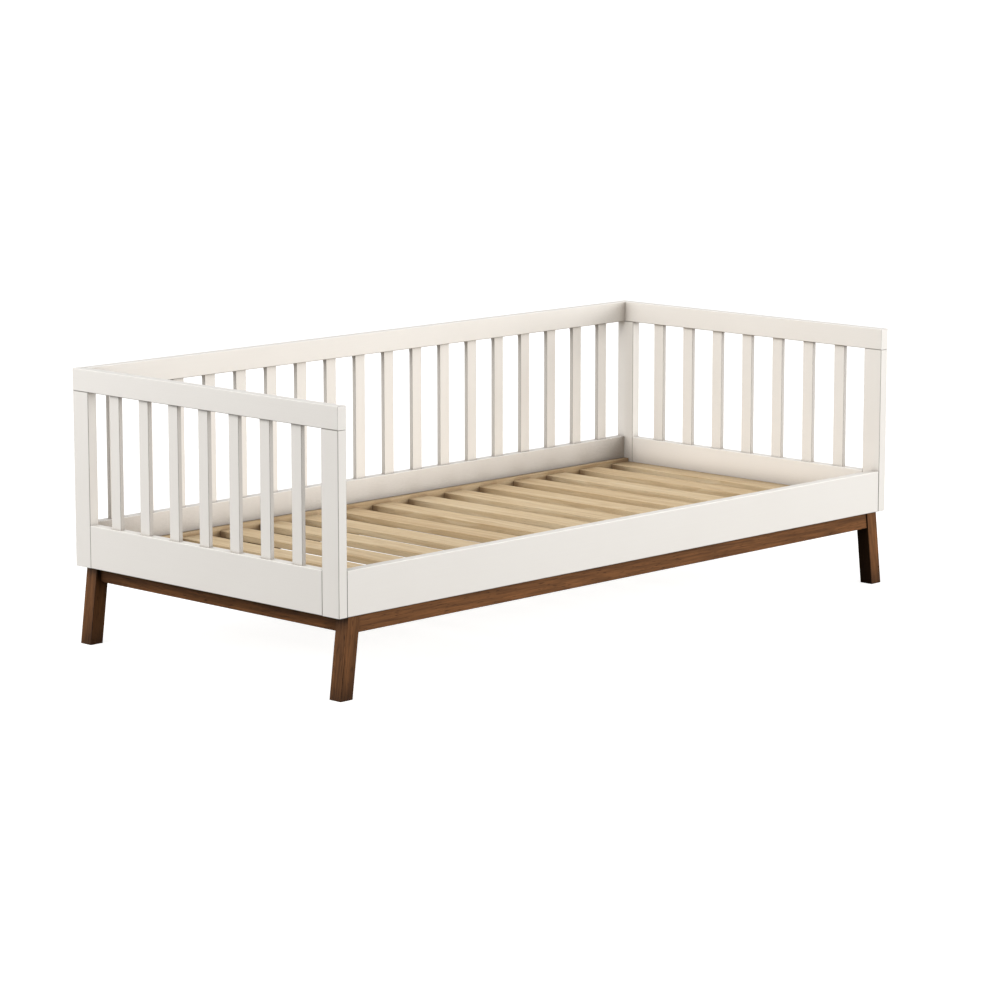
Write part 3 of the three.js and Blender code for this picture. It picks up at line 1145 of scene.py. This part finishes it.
@dataclass(frozen=True)
class UprightSlats:
    """The slats between two rails, housed in mortises.

    Attributes:
        width: a slat's wide face.
        thickness: its narrow face.
        edge: the radius of its edges.
        narrow_side_shade: how much painted shade its narrow faces carry, from 0 to 1.
        housing: how deep it goes into each rail.
        heel_depth: how far its outer face swells out under the top rail, or 0.
        heel_height: how far below the rail the swelling starts.
        heel_steps: how many steps it is drawn in.
    """

    width: float = 28.5 * MM
    thickness: float = 9.5 * MM
    edge: float = 1 * MM
    narrow_side_shade: float = 0.4
    housing: float = 10 * MM
    heel_depth: float = 0.0
    heel_height: float = 12 * MM
    heel_steps: int = 6

    def mortises(self, middles: Sequence[float], side: int) -> Mortises:
        """The mortises for the slats in a rail's underside (-1) or top (1)."""
        return Mortises(
            tuple(middles),
            self.width + 2 * JOINT_GAP,
            self.thickness + 2 * JOINT_GAP,
            self.housing,
            side,
        )

    def single(self, name: str, bottom: float, top: float, wide_along: Axis) -> Object:
        """One slat about the origin, standing between two rails.

        Args:
            name: the object's name.
            bottom: the top of the rail below.
            top: the underside of the rail above.
            wide_along: the axis that its wide face runs along.

        Returns:
            The slat, without a material.
        """
        narrow = 0 if wide_along is Axis.X else 1
        half = (self.width / 2, self.thickness / 2)
        corners = rectangle(half[narrow], half[1 - narrow])
        height = top - bottom + 2 * (self.housing - JOINT_GAP)
        stations = rounded_end(-height / 2, -1, JOINT_GAP)
        under_rail = (top - bottom) / 2
        if self.heel_depth:
            for step in range(self.heel_steps + 1):
                stations.append(Station(under_rail - self.heel_height * (1 - step / self.heel_steps)))
        stations += rounded_end(height / 2, 1, JOINT_GAP)
        # The narrow faces carry painted shade, through an edge mark.
        outline = [
            replace(point, crown=self.narrow_side_shade) if abs(point.normal[narrow]) > SQUARE_ON else point
            for point in eased_outline(corners, self.edge)
        ]
        solid = loft(outline, stations)
        if self.heel_depth:
            self.swell_heel(solid, under_rail)
        return solid.in_bed(Axis.Z).to_object(name)

    def swell_heel(self, solid: Solid, under_rail: float) -> None:
        """Lets the outer face swell out in a cove up to the rail's underside, and end there.

        Args:
            solid: the slat, in its own frame.
            under_rail: the height of the rail's underside.
        """
        for point in solid.points:
            climb = (point.x - under_rail) / self.heel_height + 1
            if 0 < climb <= 1 + TINY and point.z > 0:
                point.z += self.heel_depth * climb**2 * point.z / (self.thickness / 2)


# --------------------------------------------------------------------------------- sub-assemblies


@dataclass(frozen=True)
class EndPanel:
    """An end of the bed: two posts, a top rail over both, a deep lower rail and seven slats.

    Attributes:
        end: "left" or "right".
        seed: for the part of the log that each slat is cut from.
        slat_count: how many slats it has.
        slats: their sizes.
    """

    end: str
    seed: int
    slat_count: int = 7
    slats: UprightSlats = UprightSlats()

    def build(self, finishes: Finishes) -> None:
        """Builds the panel's pieces and fits them.

        Args:
            finishes: the bed's materials.
        """
        top_box = Box.of(f"{self.end}_top_rail")
        front, back = (Box.of(f"{self.end}_{facing}_post") for facing in ("front", "back"))
        lower_box = Box.of(f"{self.end}_lower_rail")
        underside = top_box.low.z
        span = back.low.y - front.high.y
        gap = (span - self.slat_count * self.slats.width) / (self.slat_count + 1)
        pitch = gap + self.slats.width
        first = front.high.y + gap + self.slats.width / 2
        middles = [first + pitch * number for number in range(self.slat_count)]

        boards = {
            "front_post": Board(front.low, Vector((*front.high.xy, underside - JOINT_GAP)), Axis.Z),
            "back_post": Board(back.low, Vector((*back.high.xy, underside - JOINT_GAP)), Axis.Z),
            "top_rail": Board(top_box.low, top_box.high, Axis.Y, mortises=self.slats.mortises(middles, -1)),
            "lower_rail": Board(
                Vector((lower_box.low.x, front.high.y + JOINT_GAP, lower_box.low.z)),
                Vector((lower_box.high.x, back.low.y - JOINT_GAP, lower_box.high.z)),
                Axis.Y,
                mortises=self.slats.mortises(middles, 1),
            ),
        }
        for part, board in boards.items():
            fit_board(board, f"{self.end}_{part}", finishes.white_ends)

        single = self.slats.single("end_slat", lower_box.high.z, underside, Axis.Y)
        row = Row(
            f"{self.end}_slats_finished",
            Vector((top_box.middle.x, first, (lower_box.high.z + underside) / 2)),
            Vector((0, pitch, 0)),
            self.slat_count,
            seed=self.seed,
        )
        fit(row.lay(single, finishes.white_slats), [f"{self.end}_slat_set"])


@dataclass(frozen=True)
class BackPanel:
    """The back of the bed: two rails between the end panels and eighteen slats."""

    slat_count: int = 18
    slats: UprightSlats = UprightSlats(heel_depth=3 * MM)
    seed: int = 13

    def build(self, finishes: Finishes) -> None:
        """Builds the panel's pieces and fits them.

        Args:
            finishes: the bed's materials.
        """
        left, right = Box.of("left_top_rail"), Box.of("right_top_rail")
        names = numbered("back_slat", self.slat_count)
        first, second = Box.of(names[0]).middle, Box.of(names[1]).middle
        middles = [first.x + (second.x - first.x) * number for number in range(self.slat_count)]
        rails = {"back_top_rail": -1, "back_lower_rail": 1}
        for node, side in rails.items():
            box = Box.of(node)
            board = Board(
                Vector((left.high.x + JOINT_GAP, box.low.y, box.low.z)),
                Vector((right.low.x - JOINT_GAP, box.high.y, box.high.z)),
                Axis.X,
                mortises=self.slats.mortises(middles, side),
            )
            fit_board(board, node, finishes.white)

        bottom, top = Box.of("back_lower_rail").high.z, Box.of("back_top_rail").low.z
        single = self.slats.single("back_slat", bottom, top, Axis.X)
        start = Vector((first.x, first.y, (bottom + top) / 2))
        step = Vector((second.x - first.x, 0, 0))
        row = Row("back_slats_finished", start, step, self.slat_count, self.seed)
        fit(row.lay(single, finishes.white_slats), names)


@dataclass(frozen=True)
class FrontRail:
    """The low board across the open front.

    Attributes:
        node: its node.
        right_gap: the open seam at its right end.
    """

    node: str = "front_rail"
    right_gap: float = 1.4 * MM

    def build(self, finishes: Finishes) -> None:
        """Builds the rail and fits it.

        Args:
            finishes: the bed's materials.
        """
        left, right, box = Box.of("left_top_rail"), Box.of("right_top_rail"), Box.of(self.node)
        board = Board(
            Vector((left.high.x + JOINT_GAP, box.low.y, box.low.z)),
            Vector((right.low.x - self.right_gap, box.high.y, box.high.z)),
            Axis.X,
        )
        fit_board(board, self.node, finishes.white)


@dataclass(frozen=True)
class MattressBase:
    """Two rebated side rails and the flat slats that lie in their rebates.

    Attributes:
        slat_count: how many slats there are.
        edge: the radius of a slat's edges.
        slack: how far a slat strays from its place.
        seed: for the part of the log that each slat is cut from.
        rail_edge: the radius of a side rail's long edges.
        rail_end_edge: the radius round its ends.
        seam_shadow_width: the strip of a side rail's top, beside the board outside it, that carries painted
            shadow.
        seam_shadow: how dark that painted shadow is at the seam.
    """

    slat_count: int = 15
    edge: float = 1.2 * MM
    slack: float = 0.25 * MM
    seed: int = 21
    rail_edge: float = 0.8 * MM
    rail_end_edge: float = 0.5 * MM
    seam_shadow_width: float = 5 * MM
    seam_shadow: float = 2.6

    def build(self, finishes: Finishes) -> None:
        """Builds the rails and the slats and fits them.

        Args:
            finishes: the bed's materials.
        """
        names = numbered("bed_slat", self.slat_count)
        slat, beside = Box.of(names[0]), Box.of(names[1])
        for node in ("front_side_rail", "back_side_rail"):
            self.side_rail(node, slat, finishes)
        half = slat.size / 2
        single = Board(-half, half, Axis.Y, self.edge, self.edge).solid().to_object("bed_slat")
        step = Vector((beside.middle.x - slat.middle.x, 0, 0))
        row = Row("bed_slats_finished", slat.middle, step, self.slat_count, self.seed, self.slack)
        fit(row.lay(single, finishes.pale), names)

    def side_rail(self, node: str, slat: Box, finishes: Finishes) -> None:
        """Builds a rail with a shelf for the slats' ends.

        Args:
            node: the rail's node.
            slat: the box of one of the slats.
            finishes: the bed's materials.
        """
        box = Box.of(node)
        facing = math.copysign(1.0, box.middle.y)
        shelf_top = slat.low.z - JOINT_GAP
        upstand = facing * (slat.high.y + JOINT_GAP)
        outer, inner = (box.high.y, box.low.y) if facing > 0 else (box.low.y, box.high.y)
        seam = outer - facing * self.seam_shadow_width
        corners = [
            (inner, box.low.z),
            (outer, box.low.z),
            (outer, box.high.z),
            (seam, box.high.z),
            (upstand, box.high.z),
            (upstand, shelf_top),
            (inner, shelf_top),
        ]
        # The strip beside the seam carries painted shadow, through a large edge mark.
        outline = [
            replace(point, crown=self.seam_shadow) if (point.across - seam) * facing > TINY else point
            for point in eased_outline(corners if facing > 0 else corners[::-1], self.rail_edge)
        ]
        edge = self.rail_end_edge
        ends = rounded_end(box.low.x, -1, edge) + rounded_end(box.high.x, 1, edge)
        piece = loft(outline, ends).in_bed(Axis.X).to_object(f"{node}_finished", finishes.pale)
        fit(piece, [node])


@dataclass(frozen=True)
class WalnutBase:
    """Four splayed legs, the stretchers between them and the bolted corner braces.

    Attributes:
        leg_edge: the radius of a leg's long edges.
        leg_end_edge: the radius round its ends.
        inner_face_shade: how dark the painted shade is on the faces turned to the middle of the bed.
        stretcher_edge: the radius of a stretcher's edges.
        bolt_place: how far each bolt is from the middle of the bed, along it and across it.
        bolt_head: a head's radius and height.
        washer: a washer's radius and height.
        washer_sides: the sides of a washer's outline.
        bolt_end_edge: the radius round the ends of both.
        bolt_edge: the radius of their long edges.
        bolt_seed: the seed of their rows.
    """

    leg_edge: float = 1.2 * MM
    leg_end_edge: float = 0.8 * MM
    inner_face_shade: float = 1.25
    stretcher_edge: float = 1.0 * MM
    bolt_place: tuple[float, float] = (744 * MM, 342 * MM)
    bolt_head: tuple[float, float] = (5.5 * MM, 4 * MM)
    washer: tuple[float, float] = (8 * MM, 1.2 * MM)
    washer_sides: int = 24
    bolt_end_edge: float = 0.3 * MM
    bolt_edge: float = 0.2 * MM
    bolt_seed: int = 31

    def build(self, finishes: Finishes) -> None:
        """Builds the base's pieces and fits them.

        Args:
            finishes: the bed's materials.
        """
        for facing in ("front", "back"):
            for end in ("left", "right"):
                self.leg(f"{facing}_{end}_leg", finishes)
                self.brace(f"{facing}_{end}_brace", finishes)
            self.long_stretcher(facing, finishes)
            self.bolts(facing, finishes)
        for end in ("left", "right"):
            self.end_stretcher(end, finishes)

    def bolts(self, facing: str, finishes: Finishes) -> None:
        """Hangs a washer and a hexagon head under the braces of one side.

        Args:
            facing: "front" or "back".
            finishes: the bed's materials.
        """
        underside = Box.of(f"{facing}_left_brace").low.z
        (washer_radius, washer_height), (head_radius, head_height) = self.washer, self.bolt_head
        side = -1 if facing == "front" else 1
        for part, sides, radius, height, top in (
            ("washers", self.washer_sides, washer_radius, washer_height, underside),
            ("bolt_heads", 6, head_radius, head_height, underside - washer_height),
        ):
            turns = [math.tau * step / sides for step in range(sides)]
            corners = [(radius * math.cos(turn), radius * math.sin(turn)) for turn in turns]
            edge = self.bolt_end_edge
            ends = rounded_end(-height / 2, -1, edge) + rounded_end(height / 2, 1, edge)
            single = loft(eased_outline(corners, self.bolt_edge), ends).in_bed(Axis.Z).to_object(part)
            start = Vector((-self.bolt_place[0], side * self.bolt_place[1], top - height / 2))
            row = Row(f"{facing}_{part}", start, Vector((2 * self.bolt_place[0], 0, 0)), 2, self.bolt_seed)
            fit(row.lay(single, finishes.zinc), [])

    def leg(self, node: str, finishes: Finishes) -> None:
        """Builds a leg that leans outward along the bed, cut level at its top and foot.

        Args:
            node: the leg's node.
            finishes: the bed's materials.
        """
        box = Box.of(node)
        side = math.copysign(1.0, box.middle.x)
        half = box.size.y / 2
        splay = box.size.x - box.size.y
        top_x = (box.low.x if side > 0 else box.high.x) + side * half
        height, edge = box.size.z, self.leg_end_edge
        ends = rounded_end(-height / 2, -1, edge) + rounded_end(height / 2, 1, edge)
        # The face turned to the middle of the bed, which lies in shade under it, is painted darker.
        outline = [
            replace(point, crown=self.inner_face_shade) if -side * point.normal[0] > SQUARE_ON else point
            for point in eased_outline(rectangle(half, half), self.leg_edge)
        ]
        solid = loft(outline, ends).in_bed(Axis.Z)
        lean = Matrix.Identity(4)
        lean[0][2] = -side * splay / height
        middle = Vector((top_x + side * splay / 2, box.middle.y, box.middle.z))
        solid = solid.moved(Matrix.Translation(middle) @ lean)
        fit(solid.to_object(f"{node}_finished", finishes.walnut), [node])

    def long_stretcher(self, facing: str, finishes: Finishes) -> None:
        """Builds a long stretcher, its ends cut to the lean of the legs.

        Args:
            facing: "front" or "back".
            finishes: the bed's materials.
        """
        box, leg = Box.of(f"{facing}_stretcher"), Box.of(f"{facing}_right_leg")
        splay = leg.size.x - leg.size.y
        lean = -splay / leg.size.z
        middle = box.middle
        half_length = leg.low.x - JOINT_GAP - lean * (leg.high.z - middle.z)
        edge = self.stretcher_edge
        ends = rounded_end(-half_length, -1, edge / 2, -lean) + rounded_end(half_length, 1, edge / 2, lean)
        outline = eased_outline(rectangle(box.size.y / 2, box.size.z / 2), edge)
        solid = loft(outline, ends).moved(Matrix.Translation(middle))
        node = f"{facing}_stretcher"
        fit(solid.to_object(f"{node}_finished", finishes.walnut), [node])

    def end_stretcher(self, end: str, finishes: Finishes) -> None:
        """Builds a stretcher between the two legs of an end.

        Args:
            end: "left" or "right".
            finishes: the bed's materials.
        """
        node = f"{end}_stretcher"
        box = Box.of(node)
        reach = Box.of(f"back_{end}_leg").low.y - JOINT_GAP
        board = Board(
            Vector((box.low.x, -reach, box.low.z)),
            Vector((box.high.x, reach, box.high.z)),
            Axis.Y,
            self.stretcher_edge,
            self.stretcher_edge / 2,
        )
        fit_board(board, node, finishes.walnut)

    def brace(self, node: str, finishes: Finishes) -> None:
        """Finishes a corner brace, whose frame shape stays.

        Args:
            node: the brace's node.
            finishes: the bed's materials.
        """
        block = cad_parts[node]
        block.data.materials.clear()
        block.data.materials.append(finishes.walnut_cad)
        log.info("%s: frame shape kept", node)


# ------------------------------------------------------------------------------------------ studio


@dataclass(frozen=True)
class Softbox:
    """A large soft lamp.

    Attributes:
        name: its name.
        place: where it hangs.
        aim: the point that it faces.
        width: its width.
        height: its height.
        watts: its power.
    """

    name: str
    place: tuple[float, float, float]
    aim: tuple[float, float, float]
    width: float
    height: float
    watts: float

    def hang(self) -> None:
        """Adds the lamp to the scene."""
        lamp = bpy.data.lights.new(self.name, "AREA")
        lamp.shape = "RECTANGLE"
        lamp.size, lamp.size_y = self.width, self.height
        lamp.energy = self.watts
        holder = add_object(self.name, lamp)
        holder.location = self.place
        towards = Vector(self.aim) - Vector(self.place)
        holder.rotation_euler = towards.to_track_quat("-Z", "Y").to_euler()
        holder.visible_camera = False


@dataclass(frozen=True)
class Studio:
    """A pale floor under soft lamps, and a long lens from the front left and a little above.

    Attributes:
        camera_place: where the camera stands.
        yaw: how far it turns to the right of +Y, in radians.
        pitch: how far it looks down, in radians.
        lens_mm: its focal length.
        sensor_mm: its sensor's width.
        low_room_light: how bright the room is at the height of the bed.
        high_room_light: how bright it is overhead.
        floor_radius: how far the floor reaches.
        floor_throws: the floor's colour in the light that it throws on the bed.
        floor_shows: its colour as it is seen, before its glow.
        floor_glow: how much it glows as it is seen, so that it reads as white.
        sun_from: where the broad light comes from.
        sun_strength: how strong it is.
        sun_spread: how wide it is, in radians.
        softboxes: the lamps.
    """

    camera_place: tuple[float, float, float] = (-5.35558, -5.20399, 1.53004)
    yaw: float = 0.8005
    pitch: float = 0.1709
    lens_mm: float = 128.448
    sensor_mm: float = 36.0
    low_room_light: float = 1.05
    high_room_light: float = 0.35
    floor_radius: float = 60.0
    floor_throws: str = "4a4947"
    floor_shows: str = "c4c2bf"
    floor_glow: float = 0.77
    sun_from: tuple[float, float, float] = (-1.0, 0.0, 0.75)
    sun_strength: float = 1.2
    sun_spread: float = math.radians(40)
    softboxes: tuple[Softbox, ...] = (
        Softbox("back_left_softbox", (-2.2, 1.6, 0.8), (-0.8, 0.1, 0.4), 1.4, 1.2, 11.5),
        Softbox("front_right_softbox", (3.2, -4.0, 1.1), (0.3, 0.0, 0.35), 2.2, 1.4, 105),
        Softbox("front_softbox", (-0.9, -4.4, 1.2), (0.2, 0.0, 0.35), 2.2, 1.4, 44),
    )

    def build(self) -> None:
        """Builds the camera, the lamps, the surroundings and the floor."""
        self.camera()
        for softbox in self.softboxes:
            softbox.hang()
        self.sun()
        self.surroundings()
        self.floor()
        bpy.context.scene.view_settings.view_transform = "Standard"

    def camera(self) -> None:
        """Adds the camera."""
        lens = bpy.data.cameras.new("camera")
        lens.lens, lens.sensor_width = self.lens_mm, self.sensor_mm
        lens.clip_start, lens.clip_end = 0.1, 2 * self.floor_radius
        camera = add_object("camera", lens)
        camera.location = self.camera_place
        camera.rotation_euler = (math.pi / 2 - self.pitch, 0.0, -self.yaw)
        bpy.context.scene.camera = camera

    def sun(self) -> None:
        """Adds a broad, even light from the left."""
        lamp = bpy.data.lights.new("left_light", "SUN")
        lamp.energy, lamp.angle = self.sun_strength, self.sun_spread
        holder = add_object("left_light", lamp)
        holder.rotation_euler = Vector(self.sun_from).to_track_quat("Z", "Y").to_euler()

    def surroundings(self) -> None:
        """Lights the room from all round, less from overhead, and white where the camera sees it."""
        world = bpy.data.worlds.new("studio")
        world.use_nodes = True
        tree = world.node_tree
        tree.nodes.clear()
        seen = add_node(tree, "ShaderNodeLightPath", give="Is Camera Ray")
        way = add_node(tree, "ShaderNodeTexCoord", give="Generated")
        rise = add_node(tree, "ShaderNodeSeparateXYZ", {"Vector": way}, "Z")
        limits = {"To Min": self.low_room_light, "To Max": self.high_room_light}
        light = add_node(tree, "ShaderNodeMapRange", {"Value": rise, **limits})
        strength = add_node(tree, "ShaderNodeMix", {"Factor": seen, "A": light, "B": 1.0})
        glow = add_node(tree, "ShaderNodeBackground", {"Strength": strength, "Color": linear("ffffff")})
        add_node(tree, "ShaderNodeOutputWorld", {"Surface": glow})
        bpy.context.scene.world = world

    def floor(self) -> None:
        """Adds a pale floor that keeps the faintest of shadows."""
        material, tree = new_material("pale_studio_floor")
        matt = add_node(tree, "ShaderNodeBsdfDiffuse", {"Color": linear(self.floor_throws)})
        shaded = add_node(tree, "ShaderNodeBsdfDiffuse", {"Color": linear(self.floor_shows)})
        glow = {"Color": linear("ffffff"), "Strength": self.floor_glow}
        lift = add_node(tree, "ShaderNodeEmission", glow)
        lifted = add_node(tree, "ShaderNodeAddShader", {0: shaded, 1: lift})
        seen = add_node(tree, "ShaderNodeLightPath", give="Is Camera Ray")
        surface = add_node(tree, "ShaderNodeMixShader", {0: seen, 1: matt, 2: lifted})
        add_node(tree, "ShaderNodeOutputMaterial", {"Surface": surface})
        mesh = bpy.data.meshes.new("studio_floor")
        corners = [(*corner, 0) for corner in rectangle(self.floor_radius, self.floor_radius)]
        mesh.from_pydata(corners, [], [(0, 1, 2, 3)])
        mesh.materials.append(material)
        add_object("studio_floor", mesh)


def main() -> None:
    """Builds the bed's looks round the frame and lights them."""
    logging.basicConfig(level=logging.INFO, format="%(name)s %(message)s")
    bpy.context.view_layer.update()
    finishes = Finishes.build()
    assemblies = (
        EndPanel("left", seed=11),
        EndPanel("right", seed=12),
        BackPanel(),
        FrontRail(),
        MattressBase(),
        WalnutBase(),
    )
    for assembly in assemblies:
        assembly.build(finishes)
    Studio().build()


if __name__ == "__main__":
    main()
